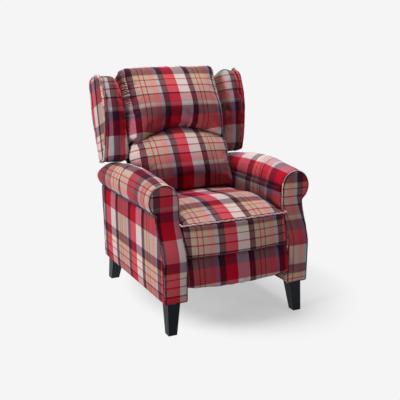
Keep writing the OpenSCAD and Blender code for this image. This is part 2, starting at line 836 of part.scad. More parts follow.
// The top of the head pillow: depth shares, with the drop to the rear as a share
head_top_shares = [[0.42, 0.2], [0.24, 0.52], [0.08, 0.86]];
head_puff_from_share = 0.5;
head_puff_start_share = 0.15;
head_puff_span_share = 0.8;
function head_ring(s) = let (
    low = arch_top(s) + pillow_gap,
    top = head_top + head_crown / 2 * across(s)
  ) concat([
    for (p = head_face_shares)
      let (
        rise = min(1, head_puff_start_share + p[1] * head_puff_span_share),
        puff = p[0] > head_puff_from_share ? head_crown * across(s) * sin(180 * rise) : 0,
        d = max(pillow_rear, (head_depth * p[0] + puff) * edge_keep(s)),
        t = low + (top - low) * p[1]
      )
        [pillow_x(s, d, t), -d, t]
  ], [
    for (p = head_top_shares)
      let (d = max(back_panel_t + soft_gap, head_depth * p[0]))
        [pillow_x(s, d, top), -d, top - head_wrap * p[1]]
  ], [
    for (d = [back_panel_t + soft_gap, pillow_rear])
      [pillow_x(s, d, post_l), -d, post_l + soft_gap]
  ]);
module head_pillow() color("#c8484a") on_back()
  loft([for (s = width_shares) head_ring(s)]);

// Wings, in the back's frame: shares of the wing's height and of its depth
wing_front_shares = [
  [0, 0.39], [0.04, 0.46], [0.11, 0.56], [0.2, 0.68], [0.31, 0.79], [0.42, 0.88],
  [0.54, 0.96], [0.68, 1], [0.82, 0.98], [0.9, 0.96], [0.96, 0.85], [1, 0.7]
];
wing_rear_shares = [
  [0.99, 0.17], [0.97, 0.08], [0.93, 0.02], [0.85, 0], [0.7, -0.06], [0.5, -0.08], [0.3, -0.05],
  [0.1, 0], [0, 0]
];
wing_l = wing_top - wing_low;
module wing_panel() {
  color("#8e2e38") on_back() side_on(wing_out - wing_panel_t, wing_out) polygon(concat(
    [for (p = wing_front_shares) [-wing_depth * p[1], wing_low + wing_l * p[0]]],
    [for (p = wing_rear_shares) [-wing_depth * p[1], wing_low + wing_l * p[0]]]
  ));
}

// One level of the wing's padding, as shares of its depth and of its thickness
wing_level_shares = [
  [0, 0], [0, 1], [0.45, 1], [0.78, 0.98], [0.93, 0.85], [1, 0.62], [0.98, 0.36], [0.9, 0.12],
  [0.87, 0]
];
wing_heights_share = [0, 0.02, 0.07, 0.15, 0.26, 0.38, 0.5, 0.62, 0.74, 0.85, 0.93, 0.975, 1];
wing_cap_share = 0.9;
wing_shoulder_power = 8;
function wing_depth_at(h) = wing_depth * lookup(h, wing_front_shares);
function wing_ring(h) =
  let (
    cap = h == 0 || h == 1 ? wing_cap_share : 1,
    pad = (wing_pad_low + (wing_pad_high - wing_pad_low) * h) * cap,
    rear = back_panel_t + soft_gap,
    depth = (wing_depth_at(h) + wing_puff - soft_gap) * cap,
    x = wing_out - wing_panel_t - soft_gap
  ) [
    for (p = wing_level_shares)
      [
        x - pad * p[1],
        -rear - (depth - rear) * p[0],
        wing_low + wing_l * h - wing_shoulder * p[1] * pow(h, wing_shoulder_power)
      ]
  ];
module wing_pad() color("#a83238") on_back()
  loft([for (h = wing_heights_share) wing_ring(h)]);

left() front_leg();  // front_leg_left
front_leg();  // front_leg_right
left() rear_leg();  // rear_leg_left
rear_leg();  // rear_leg_right
leg_bolts();
corner_blocks();
left() arm_board();  // arm_board_left
arm_board();  // arm_board_right
left() arm_roll();  // arm_roll_left
arm_roll();  // arm_roll_right
left() arm_inner_panel();  // arm_inner_panel_left
arm_inner_panel();  // arm_inner_panel_right
left() arm_outer_panel();  // arm_outer_panel_left
arm_outer_panel();  // arm_outer_panel_right
left() arm_facing();  // arm_facing_left
arm_facing();  // arm_facing_right
left() arm_rear_panel();  // arm_rear_panel_left
arm_rear_panel();  // arm_rear_panel_right
front_cross_rail();
rear_cross_rail();
rear_apron();
left() slide_rail();  // slide_rail_left
slide_rail();  // slide_rail_right
hinge_brackets();
seat_front_rail();
seat_rear_rail();
left() seat_side_rail();  // seat_side_rail_left
seat_side_rail();  // seat_side_rail_right
seat_springs();
seat_cushion();
seat_front_border();
left() seat_plate();  // seat_plate_left
seat_plate();  // seat_plate_right
slide_pins();
seat_rivets();
left() drive_link();  // drive_link_left
drive_link();  // drive_link_right
left() idler_link();  // idler_link_left
idler_link();  // idler_link_right
left() carrier_link();  // carrier_link_left
carrier_link();  // carrier_link_right
carrier_rivets();
footrest_board();
footrest_pad();
footrest_brackets();
footrest_rivets();
left() back_post();  // back_post_left
back_post();  // back_post_right
back_top_rail();
back_bottom_rail();
back_webbing();
back_outer_panel();
head_pillow();
lumbar_pillow();
left() wing_panel();  // wing_panel_left
wing_panel();  // wing_panel_right
left() wing_pad();  // wing_pad_left
wing_pad();  // wing_pad_right
back_hinge_plates();
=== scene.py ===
# %% [markdown]
# # A tartan wing chair
# The frame of this chair was drawn as solids, and every solid is loaded here at its real place.
# This lesson dresses that frame as the finished chair: woven tartan over foam on the arms,
# seat, pillows and wings, black lacquered legs, and raw timber and steel inside.

# %% Load the frame
import bpy
import bmesh
import math
import numpy as np
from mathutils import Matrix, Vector
from mathutils.bvhtree import BVHTree


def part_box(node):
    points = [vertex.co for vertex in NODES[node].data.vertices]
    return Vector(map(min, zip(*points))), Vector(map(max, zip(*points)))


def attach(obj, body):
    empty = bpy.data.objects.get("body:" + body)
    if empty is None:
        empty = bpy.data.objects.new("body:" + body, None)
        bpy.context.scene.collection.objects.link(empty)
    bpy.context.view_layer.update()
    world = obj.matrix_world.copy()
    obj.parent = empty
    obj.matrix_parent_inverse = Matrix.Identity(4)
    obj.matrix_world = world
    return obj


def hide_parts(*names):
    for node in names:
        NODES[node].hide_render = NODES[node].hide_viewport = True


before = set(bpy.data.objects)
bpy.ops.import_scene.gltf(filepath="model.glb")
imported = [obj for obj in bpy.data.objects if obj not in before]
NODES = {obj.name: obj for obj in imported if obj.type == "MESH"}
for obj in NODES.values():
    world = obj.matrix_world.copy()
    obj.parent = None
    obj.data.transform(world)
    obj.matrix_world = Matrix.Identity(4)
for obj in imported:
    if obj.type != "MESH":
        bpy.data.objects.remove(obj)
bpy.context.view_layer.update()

# %% [markdown]
# ## Camera
# The photograph was taken from the chair's left front, a little above the seat. A long lens,
# about 62 mm, keeps the arms almost parallel, as in a catalogue picture.

# %% Camera
CAMERA_TURN, CAMERA_RISE = math.radians(-26.458), math.radians(13.854)
lens = bpy.data.cameras.new("camera")
lens.lens = 62.38
lens.sensor_width = 36
lens.sensor_fit = "HORIZONTAL"
lens.clip_start, lens.clip_end = 0.1, 60
camera = bpy.data.objects.new("camera", lens)
bpy.context.scene.collection.objects.link(camera)
camera.location = (-1.3568, -2.7615, 1.2047)
backward = Vector((math.sin(CAMERA_TURN) * math.cos(CAMERA_RISE),
                   -math.cos(CAMERA_TURN) * math.cos(CAMERA_RISE), math.sin(CAMERA_RISE)))
camera.rotation_euler = (-backward).to_track_quat("-Z", "Y").to_euler()
bpy.context.scene.camera = camera
bpy.context.scene.view_settings.view_transform = "Standard"
print("camera at", [round(v, 2) for v in camera.location])

# %% [markdown]
# ## Materials: one small helper
# A material is a graph of nodes. One function adds a node and wires its inputs, so that each
# recipe below reads from the pattern to the shader. Colours are written as sRGB hex.

# %% Node helper
def rgb(hex_colour):
    channels = [int(hex_colour[i:i + 2], 16) / 255 for i in (1, 3, 5)]
    return [c / 12.92 if c <= 0.04045 else ((c + 0.055) / 1.055) ** 2.4 for c in channels] + [1]


def add(tree, kind, inputs=None, **settings):
    node = tree.nodes.new(kind)
    for name, value in settings.items():
        setattr(node, name, value)
    for key, value in (inputs or {}).items():
        socket = node.inputs[key]
        if isinstance(value, bpy.types.NodeSocket):
            tree.links.new(value, socket)
        elif isinstance(value, str) and value.startswith("#"):
            socket.default_value = rgb(value)
        else:
            socket.default_value = value
    return node


def new_material(name):
    material = bpy.data.materials.new(name)
    material.use_nodes = True
    material.node_tree.nodes.clear()
    return material, material.node_tree


def finish_material(tree, shader):
    add(tree, "ShaderNodeOutputMaterial", {"Surface": shader.outputs[0]})


def ramp(tree, factor, stops, interpolation="LINEAR"):
    node = add(tree, "ShaderNodeValToRGB", {"Fac": factor})
    node.color_ramp.interpolation = interpolation
    elements = node.color_ramp.elements
    for i, (place, colour) in enumerate(stops):
        element = elements[i] if i < len(elements) else elements.new(place)
        element.position = place
        element.color = rgb(colour)
    return node.outputs[0]


def maths(tree, operation, a, b=0.0, c=0.0):
    return add(tree, "ShaderNodeMath", {0: a, 1: b, 2: c}, operation=operation).outputs[0]


def noise(tree, place, scale, detail, distortion=0.0):
    return add(tree, "ShaderNodeTexNoise", {
        "Vector": place, "Scale": scale, "Detail": detail, "Distortion": distortion}).outputs[0]


def object_place(tree, stretch=(1.0, 1.0, 1.0)):
    place = add(tree, "ShaderNodeTexCoord").outputs["Object"]
    return add(tree, "ShaderNodeMapping", {"Vector": place, "Scale": stretch}).outputs[0]


# %% Shader with a fine relief
def relief(tree, colour, roughness, height, strength, depth, more=None):
    """Finish a material whose surface has a fine relief, with its depth in metres."""
    bump = add(tree, "ShaderNodeBump", {"Strength": strength, "Distance": depth,
                                        "Height": height})
    inputs = {"Base Color": colour, "Roughness": roughness, "Normal": bump.outputs[0]}
    finish_material(tree, add(tree, "ShaderNodeBsdfPrincipled", {**inputs, **(more or {})}))

# %% [markdown]
# ## The tartan
# A tartan is two lists of stripes that cross: the warp runs down the cloth and the weft across
# it. Where two colours cross, the eye mixes them, and the twill leaves that mix a little darker
# than the plain average. Each piece carries a UV map named cloth, in metres along both thread
# directions, so the stripes follow the sewing pattern and bend with the padding.

# %% Stripe lists, widths in mm
WARP = [
    (28, "#180a0c"), (56, "#a80c18"), (56, "#b7d2c0"), (28, "#1d0c10"), (24, "#83906a"),
    (5, "#9c1420"), (17, "#83906a"), (5, "#9c1420"), (22, "#88906c"), (27, "#a8705a"),
    (18, "#709b9c"),
]
WEFT = [
    (41, "#490e2e"), (68, "#9a0524"), (87, "#c996a2"), (42, "#60243f"), (5, "#cc8e50"),
    (18, "#d6a6a4"), (6, "#b01428"), (28, "#d49ea4"), (6, "#b01428"), (33, "#d2949c"),
    (6, "#3a0c24"), (41, "#ba4a5c"), (10, "#9492a4"), (9, "#b8606c"),
]
print("warp repeats every", sum(w for w, c in WARP), "mm, weft every", sum(w for w, c in WEFT))


def stripes(tree, coordinate, sett):
    period = sum(width for width, colour in sett)
    place = maths(tree, "FRACT", maths(tree, "MULTIPLY", coordinate, 1000 / period))
    stops, start = [], 0.0
    for width, colour in sett:
        stops.append((start / period, colour))
        start += width
    return ramp(tree, place, stops, "CONSTANT")


# %% Tartan material
CROSSING_DEPTH = 0.75
SLUB_SCALE, FIBRE_SCALE, TWILL_SCALE = 260.0, 900.0, 3600.0


def make_tartan():
    material, tree = new_material("woven tartan")
    cloth = add(tree, "ShaderNodeUVMap", uv_map="cloth").outputs[0]
    place = add(tree, "ShaderNodeSeparateXYZ", {0: cloth})
    u, v = place.outputs[0], place.outputs[1]
    warp, weft = stripes(tree, u, WARP), stripes(tree, v, WEFT)

    def mix(kind, share, one, other):
        return add(tree, "ShaderNodeMix", {0: share, 6: one, 7: other}, data_type="RGBA",
                   blend_type=kind).outputs[2]

    average = mix("MIX", 0.5, warp, weft)
    depth = add(tree, "ShaderNodeGamma", {0: mix("MULTIPLY", 1.0, warp, weft), 1: 0.5})
    mixed = mix("MIX", CROSSING_DEPTH, average, depth.outputs[0])
    # slubs in the yarn and the ridges of the twill make each colour a little uneven
    slub = add(tree, "ShaderNodeMapRange", {
        0: noise(tree, cloth, SLUB_SCALE, 2.0), 1: 0.3, 2: 0.7, 3: 0.9, 4: 1.1}).outputs[0]
    twill = maths(tree, "SINE", maths(tree, "MULTIPLY", maths(tree, "ADD", u, v), TWILL_SCALE))
    toned = mix("MULTIPLY", 1.0, mixed, maths(tree, "MULTIPLY_ADD", twill, 0.04, slub))
    height = maths(tree, "MULTIPLY_ADD", twill, 0.25, noise(tree, cloth, FIBRE_SCALE, 3.0))
    relief(tree, toned, 0.92, height, 0.35, 0.0006, {
        "Sheen Weight": 0.04, "Sheen Roughness": 0.5, "Specular IOR Level": 0.05})
    return material


TARTAN = make_tartan()

# %% [markdown]
# ## Piping and lining cloth
# Piping is a cord wrapped in a strip of cloth. Most cords on this chair are wrapped in the
# tartan itself. The seat's front edge has a pale one, and the lower seams have dark ones. A fine
# diagonal rib stands for the wrapped threads. The black lining cloth on the frame is partly a
# real lining and partly painted shade: it darkens the frame where it shows in the gaps between the
# pads.

# %% Piping cloth
RIB_TURN = 6.28


def make_plain_cloth(name, dark, light, rib_mm):
    material, tree = new_material(name)
    place = object_place(tree)
    colour = ramp(tree, noise(tree, place, 90.0, 3.0), [(0.3, dark), (0.7, light)])
    wave = add(tree, "ShaderNodeTexWave", {
        "Vector": place, "Scale": 1000 / rib_mm / RIB_TURN, "Distortion": 1.0},
        bands_direction="DIAGONAL")
    relief(tree, colour, 0.9, wave.outputs[1], 0.4, 0.0005, {
        "Sheen Weight": 0.1, "Sheen Roughness": 0.5})
    return material


DARK_PIPING = make_plain_cloth("dark plum piping", "#16070f", "#2c0e1a", 1.6)
PALE_PIPING = make_plain_cloth("pale pink piping", "#a87c7e", "#d2b2ac", 1.6)
THREAD = make_plain_cloth("stitching thread", "#7c3038", "#a25c58", 0.8)
# painted shade: near-black cloth for the posts, cross rails, seat rails and footrest board, partly
# a real lining and partly the shade in the gaps where the frame shows
LINING_AND_GAP_SHADE = make_plain_cloth("black lining and painted gap shade", "#0e0d0e", "#1b191a", 1.2)
WEBBING = make_plain_cloth("elastic webbing", "#151314", "#2c2829", 2.2)

# %% [markdown]
# ## Wood, lacquer and steel
# Legs: black satin lacquer that still shows a little grain. Inside: planed softwood rails,
# plywood boards, black painted pressings, zinc plated rivets and dark spring wire.

# %% Wood and lacquer
def make_wood(name, dark, light, along, ring_mm, rough):
    material, tree = new_material(name)
    stretch = [1.0, 1.0, 1.0]
    stretch["XYZ".index(along)] = 0.06
    rings = noise(tree, object_place(tree, stretch), 1000 / ring_mm, 4.0, 0.6)
    colour = ramp(tree, rings, [(0.35, dark), (0.62, light)])
    relief(tree, colour, rough, rings, 0.25, 0.0004)
    return material


def make_lacquer():
    material, tree = new_material("black satin lacquer")
    pores = noise(tree, object_place(tree, (1.0, 1.0, 0.05)), 420.0, 3.0)
    colour = ramp(tree, pores, [(0.35, "#05070a"), (0.7, "#0b0e12")])
    rough = add(tree, "ShaderNodeMapRange", {0: pores, 3: 0.34, 4: 0.48}).outputs[0]
    relief(tree, colour, rough, pores, 0.12, 0.0003, {
        "Specular IOR Level": 0.18, "Specular Tint": "#ccd6e6"})
    return material


LACQUER = make_lacquer()
PINE_X = make_wood("planed softwood across", "#a9835a", "#cfae7f", "X", 9, 0.6)
PINE_Y = make_wood("planed softwood front to rear", "#a9835a", "#cfae7f", "Y", 9, 0.6)
PLYWOOD = make_wood("birch plywood", "#b59468", "#d3ba8d", "Y", 14, 0.55)

# %% Steel
def make_metal(name, dark, light, metallic, rough, scale):
    material, tree = new_material(name)
    spots = noise(tree, object_place(tree), scale, 4.0)
    colour = ramp(tree, spots, [(0.3, dark), (0.7, light)])
    uneven = add(tree, "ShaderNodeMapRange", {0: spots, 3: rough - 0.06, 4: rough + 0.08})
    relief(tree, colour, uneven.outputs[0], spots, 0.08, 0.0003, {"Metallic": metallic})
    return material


BLACK_STEEL = make_metal("black painted steel", "#17181a", "#26282b", 0.0, 0.42, 300.0)
ZINC = make_metal("zinc plated steel", "#8f908c", "#b4b4ae", 1.0, 0.36, 160.0)
SPRING = make_metal("drawn spring wire", "#3a3b3e", "#56575a", 1.0, 0.4, 220.0)

# %% Finish the solids that stay in sight
FINISHES = [
    (("leg_bolts", "rivets", "slide_pins"), ZINC), (("_leg_",), LACQUER),
    (("seat_springs",), SPRING), (("back_webbing",), WEBBING),
    (("slide_rail", "link", "plate", "bracket"), BLACK_STEEL),
    # the frame that shows in the gaps is dressed black, as lining and as painted shade
    (("footrest_board", "post", "cross", "seat_"), LINING_AND_GAP_SHADE), (("arm_board",), PLYWOOD),
    (("side_rail", "block"), PINE_Y)]


def finish_for(name):
    for words, material in FINISHES:
        if any(word in name for word in words):
            return material
    return PINE_X


for name, node in NODES.items():
    for material_slot in node.material_slots:
        material_slot.material = finish_for(name)
print("solids finished")

# %% [markdown]
# ## Upholstery helpers
# Every padded part starts as a copy of its solid, remeshed into an even skin. The pillows, the
# seat and the wings are then swollen by cloth simulation, because they are the softest. The
# other parts are crowned and rounded by moving points, which keeps them crisp. Those moves are
# done with arrays, and the piece's own normals say which way is out.

# %% Mesh arrays
def values_of(items, key, width, kind=float):
    values = np.empty(len(items) * width, dtype=kind)
    items.foreach_get(key, values)
    return values.reshape(-1, width)


def points_of(mesh):
    return values_of(mesh.vertices, "co", 3)


def normals_of(mesh):
    return values_of(mesh.vertices, "normal", 3)


def set_points(mesh, co):
    mesh.vertices.foreach_set("co", co.ravel())
    mesh.update()


def slope(value, start, end):
    """Nought before start, one after end, and a straight rise between them."""
    return np.clip((value - start) / (end - start), 0, 1)


def bell(distance, width):
    return np.exp(-(distance / width) ** 2)


SHRINK, GROW_BACK = 0.5, -0.52


def soften(mesh, steps, keep_size=True):
    """Average each point with its neighbours. Pushing back in between keeps the size."""
    co, pairs = points_of(mesh), values_of(mesh.edges, "vertices", 2, int)
    count = np.bincount(pairs.ravel(), minlength=len(co)).reshape(-1, 1)
    for step in range(steps):
        for strength in (SHRINK, GROW_BACK) if keep_size else (SHRINK,):
            total = np.zeros_like(co)
            for axis in range(3):
                total[:, axis] = (np.bincount(pairs[:, 0], co[pairs[:, 1], axis], len(co))
                                  + np.bincount(pairs[:, 1], co[pairs[:, 0], axis], len(co)))
            co += strength * (total / count - co)
    set_points(mesh, co)

# %% Copy a solid and give it an even skin
def merged_shell(mesh):
    """The mesh with its doubled points joined and every face looking outward."""
    shell = bmesh.new()
    shell.from_mesh(mesh)
    bmesh.ops.remove_doubles(shell, verts=shell.verts, dist=1e-5)
    bmesh.ops.recalc_face_normals(shell, faces=shell.faces)
    return shell


def bake(piece):
    shown = bpy.context.evaluated_depsgraph_get()
    baked = bpy.data.meshes.new_from_object(piece.evaluated_get(shown), depsgraph=shown)
    piece.modifiers.clear()
    piece.data = baked
    return piece


def new_piece(name, mesh):
    piece = bpy.data.objects.new(name, mesh)
    bpy.context.scene.collection.objects.link(piece)
    return piece


def even_skin(name, node_name, voxel):
    mesh = NODES[node_name].data.copy()
    mesh.name = name
    shell = merged_shell(mesh)
    shell.to_mesh(mesh)
    shell.free()
    mesh.materials.clear()
    piece = new_piece(name, mesh)
    remesh = piece.modifiers.new("skin", "REMESH")
    remesh.mode = "VOXEL"
    remesh.voxel_size = voxel
    bake(piece)
    soften(piece.data, 4)
    return piece


def subdivide(piece):
    finer = piece.modifiers.new("finer", "SUBSURF")
    finer.levels = finer.render_levels = 1
    bake(piece)

# %% Swell a piece with cloth simulation
SWELL_FRAMES, SWELL_PRESSURE = 20, 4.0


def swell(piece, inset, cap):
    """Blow the piece up from a little inside its form, at most cap metres beyond it."""
    mesh = piece.data
    home, outward = points_of(mesh).copy(), normals_of(mesh).copy()
    start = home - outward * inset
    set_points(mesh, start)
    scene = bpy.context.scene
    cloth = piece.modifiers.new("swell", "CLOTH")
    cloth.settings.use_pressure = True
    cloth.settings.uniform_pressure_force = SWELL_PRESSURE
    cloth.settings.effector_weights.gravity = 0
    cloth.settings.quality = 5
    cloth.point_cache.frame_start, cloth.point_cache.frame_end = 1, SWELL_FRAMES
    for step in range(1, SWELL_FRAMES + 1):
        scene.frame_set(step)
    bake(piece)
    scene.frame_set(1)
    mesh = piece.data
    moved = points_of(mesh) - start
    length = np.linalg.norm(moved, axis=1, keepdims=True)
    moved *= np.minimum(1, (inset + cap) / np.maximum(length, 1e-9))
    grown = ((start + moved - home) * outward).sum(1)
    # never less than the solid form, apart from its rounded edges
    lift = np.clip(np.percentile(grown, 30) * -1, 0, inset)
    set_points(mesh, start + moved + outward * lift)
    print(piece.name, "grew by", round(1000 * float(np.median(grown)), 1), "mm in the middle")
    soften(mesh, 2)
    return piece


def move_out(piece, amount):
    mesh = piece.data
    set_points(mesh, points_of(mesh) + normals_of(mesh) * amount.reshape(-1, 1))

# %% Crown the side of a piece that looks one way
CROWN_REACH, RIM_POINTS, BATCH = 0.03, 1500, 4000


def crown(piece, out, puff):
    """Raise the middle of one side, less and less towards its edge."""
    co, no = points_of(piece.data), normals_of(piece.data)
    facing = no @ np.array(out)
    rim = co[np.abs(facing) < 0.6]
    rim = rim[::max(1, len(rim) // RIM_POINTS)]
    across = [k for k in range(3) if abs(out[k]) < 0.5]
    gap = np.empty(len(co))
    for start in range(0, len(co), BATCH):
        part = co[start:start + BATCH][:, across]
        gap[start:start + BATCH] = np.linalg.norm(part[:, None] - rim[None][:, :, across],
                                                  axis=2).min(1)
    move_out(piece, puff * (1 - np.exp(-gap / CROWN_REACH)) * slope(facing, 1 / 2, 5 / 6))

# %% Lay the cloth: a UV map in metres, worked out face by face
def lay_cloth(piece, place):
    mesh = piece.data
    layer = mesh.uv_layers.get("cloth") or mesh.uv_layers.new(name="cloth")
    corner = values_of(mesh.loops, "vertex_index", 1, int).ravel()
    sides = values_of(mesh.polygons, "loop_total", 1, int).ravel()
    normal = np.repeat(values_of(mesh.polygons, "normal", 3), sides, axis=0)
    centre = np.repeat(values_of(mesh.polygons, "center", 3), sides, axis=0)
    u, v = place(points_of(mesh)[corner], normal, centre)
    layer.data.foreach_set("uv", np.stack([u, v], 1).ravel())


def shade_smooth(piece):
    piece.data.polygons.foreach_set("use_smooth", [True] * len(piece.data.polygons))
    piece.data.update()


def dress(piece, body, replaced=()):
    piece.data.materials.clear()
    piece.data.materials.append(TARTAN)
    shade_smooth(piece)
    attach(piece, body)
    for node_name in replaced:
        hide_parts(node_name)
    return piece

# %% [markdown]
# ## The back's own directions
# The back leans 18.8 degrees. Two unit vectors, up the back and out of its front, turn a world
# point into height up the back and depth in front of its rear face, and the other way round.

# %% Back frame
SIDES = ((-1, "left"), (1, "right"))
LEAN = math.radians(18.8)
BACK_FOOT = np.array([0.0, 0.200, 0.360])
UP_BACK = np.array([0.0, math.sin(LEAN), math.cos(LEAN)])
OUT_OF_BACK = np.array([0.0, -math.cos(LEAN), math.sin(LEAN)])


def back_height(co):
    return (co - BACK_FOOT) @ UP_BACK


def back_depth(co):
    return (co - BACK_FOOT) @ OUT_OF_BACK


def back_point(x, depth, height):
    return np.array([x, 0, 0]) + BACK_FOOT + OUT_OF_BACK * depth + UP_BACK * height


# %% [markdown]
# ## Cords and stitches
# Piping, seams and stitches all follow a path, so Geometry Nodes make them. One tree sweeps a
# cord along a path. The other sets a short stitch every few millimetres. The path itself comes
# from the solid: the edge of the faces that look one way is exactly where an upholsterer sews.

# %% Node trees for cord and stitch
def new_tree(name, inputs):
    tree = bpy.data.node_groups.new(name, "GeometryNodeTree")
    tree.interface.new_socket("Geometry", in_out="INPUT", socket_type="NodeSocketGeometry")
    for label, kind, value in inputs:
        socket = tree.interface.new_socket(label, in_out="INPUT", socket_type=kind)
        if value is not None:
            socket.default_value = value
    tree.interface.new_socket("Geometry", in_out="OUTPUT", socket_type="NodeSocketGeometry")
    return tree, add(tree, "NodeGroupInput").outputs


def end_tree(tree, geometry, material):
    single = add(tree, "GeometryNodeRealizeInstances", {0: geometry})
    finished = add(tree, "GeometryNodeSetMaterial", {"Geometry": single.outputs[0],
                                                     "Material": material})
    add(tree, "NodeGroupOutput", {0: finished.outputs[0]})
    return tree


def cord_tree():
    tree, given = new_tree("sewn cord", [
        ("Radius", "NodeSocketFloat", 0.002), ("Step", "NodeSocketFloat", 0.003),
        ("Lump", "NodeSocketFloat", 0.0), ("Cut", "NodeSocketFloat", 0.014),
        ("Material", "NodeSocketMaterial", None)])
    path = add(tree, "GeometryNodeMeshToCurve", {0: given["Geometry"]})
    even = add(tree, "GeometryNodeResampleCurve", {"Curve": path.outputs[0],
                                                   "Length": given["Step"]}, mode="LENGTH")
    lumps = add(tree, "ShaderNodeTexNoise", {"Scale": 70.0, "Detail": 1.0})
    centred = add(tree, "ShaderNodeVectorMath", {0: lumps.outputs["Color"],
                                                 1: (0.5, 0.5, 0.5)}, operation="SUBTRACT")
    push = add(tree, "ShaderNodeVectorMath", {0: centred.outputs[0]}, operation="SCALE")
    tree.links.new(given["Lump"], push.inputs["Scale"])
    uneven = add(tree, "GeometryNodeSetPosition", {"Geometry": even.outputs[0],
                                                   "Offset": push.outputs[0]})
    length = add(tree, "GeometryNodeSplineParameter").outputs["Length"]
    marked = add(tree, "GeometryNodeCaptureAttribute")
    marked.capture_items.new("FLOAT", "Along")
    tree.links.new(uneven.outputs[0], marked.inputs[0])
    tree.links.new(length, marked.inputs[1])
    ring = add(tree, "GeometryNodeCurvePrimitiveCircle", {"Resolution": 8,
                                                          "Radius": given["Radius"]})
    tube = add(tree, "GeometryNodeCurveToMesh", {"Curve": marked.outputs[0],
                                                 "Profile Curve": ring.outputs[0],
                                                 "Fill Caps": True})
    # the strip round the cord was cut down one stripe, so the weft colours change along it
    cloth = add(tree, "ShaderNodeCombineXYZ", {0: given["Cut"], 1: marked.outputs[1]})
    laid = add(tree, "GeometryNodeStoreNamedAttribute", {
        "Geometry": tube.outputs[0], "Name": "cloth", "Value": cloth.outputs[0]},
        data_type="FLOAT2", domain="CORNER")
    return end_tree(tree, laid.outputs[0], given["Material"])


def stitch_tree():
    tree, given = new_tree("row of stitches", [
        ("Pitch", "NodeSocketFloat", 0.007), ("Length", "NodeSocketFloat", 0.0045),
        ("Radius", "NodeSocketFloat", 0.0006), ("Material", "NodeSocketMaterial", None)])
    path = add(tree, "GeometryNodeMeshToCurve", {0: given["Geometry"]})
    spots = add(tree, "GeometryNodeCurveToPoints", {"Curve": path.outputs[0],
                                                    "Length": given["Pitch"]}, mode="LENGTH")
    stitch = add(tree, "GeometryNodeMeshCylinder", {"Vertices": 5, "Radius": given["Radius"],
                                                    "Depth": given["Length"]})
    row = add(tree, "GeometryNodeInstanceOnPoints", {
        "Points": spots.outputs["Points"], "Instance": stitch.outputs[0],
        "Rotation": spots.outputs["Rotation"]})
    return end_tree(tree, row.outputs[0], given["Material"])


CORD, STITCH = cord_tree(), stitch_tree()


def run_tree(name, tree, points, closed, values, body):
    count = len(points)
    links = [(i, i + 1) for i in range(count - 1)] + ([(count - 1, 0)] if closed else [])
    mesh = bpy.data.meshes.new(name)
    mesh.from_pydata([tuple(p) for p in points], links, [])
    piece = new_piece(name, mesh)
    modifier = piece.modifiers.new("made", "NODES")
    modifier.node_group = tree
    for socket in tree.interface.items_tree:
        if socket.in_out == "INPUT" and socket.name in values:
            modifier[socket.identifier] = values[socket.name]
    bake(piece)
    shade_smooth(piece)
    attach(piece, body)
    return piece


PLUM_CUT, PALE_CUT = 0.014, 0.112


def lay_cord(name, points, body, radius, material=TARTAN, closed=False, lump=0.0,
             cut=PLUM_CUT):
    return run_tree(name, CORD, points, closed, {
        "Radius": radius, "Lump": lump, "Cut": cut, "Material": material}, body)


def sew(name, points, body):
    return run_tree(name, STITCH, points, False, {"Material": THREAD}, body)


# %% Paths: the edge of a face, even steps, and snapping to a finished surface
def face_edge(node_name, out, step=0.004, rounds=3):
    """The longest closed edge round the faces of a solid that look out, in even steps."""
    shell = merged_shell(NODES[node_name].data)
    beside = {}
    for edge in shell.edges:
        if len(edge.link_faces) == 2:
            one, two = (np.array(f.normal) @ np.array(out) > 0.5 for f in edge.link_faces)
            if one != two:
                a, b = edge.verts
                beside.setdefault(a, []).append(b)
                beside.setdefault(b, []).append(a)
    loops, seen = [], set()
    for first in beside:
        if first in seen:
            continue
        loop, here = [first], first
        seen.add(first)
        while True:
            onward = [v for v in beside[here] if v not in seen]
            if not onward:
                break
            here = onward[0]
            seen.add(here)
            loop.append(here)
        loops.append(np.array([tuple(v.co) for v in loop]))
    shell.free()
    longest = max(loops, key=lambda p: np.linalg.norm(np.diff(p, axis=0), axis=1).sum())
    return even_path(longest, step, True, rounds)


def even_path(points, step, closed=False, rounds=0):
    points = np.asarray(points, dtype=float)
    if closed:
        points = np.vstack([points, points[:1]])
    run = np.concatenate([[0], np.cumsum(np.linalg.norm(np.diff(points, axis=0), axis=1))])
    marks = np.linspace(0, run[-1], max(3, int(run[-1] / step)), endpoint=not closed)
    path = np.stack([np.interp(marks, run, points[:, k]) for k in range(3)], 1)
    for turn in range(rounds):
        middle = (np.roll(path, 1, 0) + np.roll(path, -1, 0)) / 2
        if not closed:
            middle[0], middle[-1] = path[0], path[-1]
        path = (path + middle) / 2
    return path


def surface_of(piece):
    mesh = piece.data
    return BVHTree.FromPolygons([tuple(v.co) for v in mesh.vertices],
                                [tuple(p.vertices) for p in mesh.polygons])


def snap(points, surface, lift):
    moved = []
    for point in points:
        spot, normal, face, gap = surface.find_nearest(Vector(point))
        moved.append(np.array(spot) + np.array(normal) * lift)
    return np.array(moved)


def part_of(path, keep):
    """The longest unbroken stretch of a closed path that passes the test."""
    flags = [bool(keep(p)) for p in path]
    if all(flags):
        return path
    start = flags.index(False)
    turned = list(range(start, len(path))) + list(range(start))
    best, run = [], []
    for i in turned:
        run = run + [i] if flags[i] else []
        best = run if len(run) > len(best) else best
    return path[best]

# %% [markdown]
# ## Pillows
# The head pillow wraps over the top of the back, and the lumbar pillow ends in an arch under
# it. Both have a side strip, the gusset, gathered into the side seam. The solids carry the arch
# and the wrap. Swelling fills them out, and seams are pressed in afterwards. The gathers are
# finer than that skin, so each gusset strip is a separate, closely ridged sheet of cloth.

# %% Pillow cloth and seams
ARCH_SIDE, ARCH_RISE, FLARED_HALF = 0.305, 0.066, 0.254
HEAD_MAROON, LUMBAR_MAROON, PILLOW_PLUM = 0.4616, 0.1754, -0.081
SIDE_SEAM, TUCK = 0.226, 0.012


def arch_height(x):
    return ARCH_SIDE + ARCH_RISE * (1 - np.clip(x / FLARED_HALF, -1, 1) ** 2)


